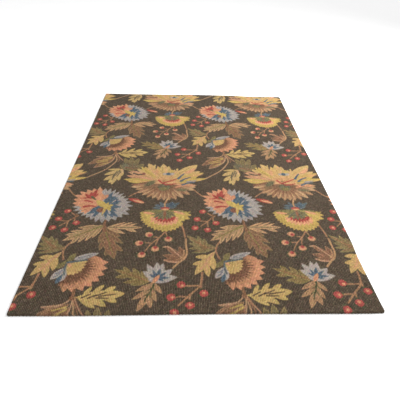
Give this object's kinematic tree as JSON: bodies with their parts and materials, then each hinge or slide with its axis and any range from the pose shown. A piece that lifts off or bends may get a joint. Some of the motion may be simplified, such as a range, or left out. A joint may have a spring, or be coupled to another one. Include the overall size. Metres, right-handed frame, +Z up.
{
  "type": "hooked wool rug",
  "caption": "Flat rectangular rug of looped wool pile on canvas, its edges turned under, with an all-over pattern of flowers, leaves and berries.",
  "frame": {"origin": "under the middle of the rug, on the surface it lies on", "axes": "+Z up out of the pile, +Y along the rug's length towards its far end, +X across it to the right"},
  "size_m": [1.5294, 2.2954, 0.01],
  "materials": {
    "wool": "matt looped wool"
  },
  "bodies": {
    "root": {"rug": "wool"}
  },
  "joints": []
}
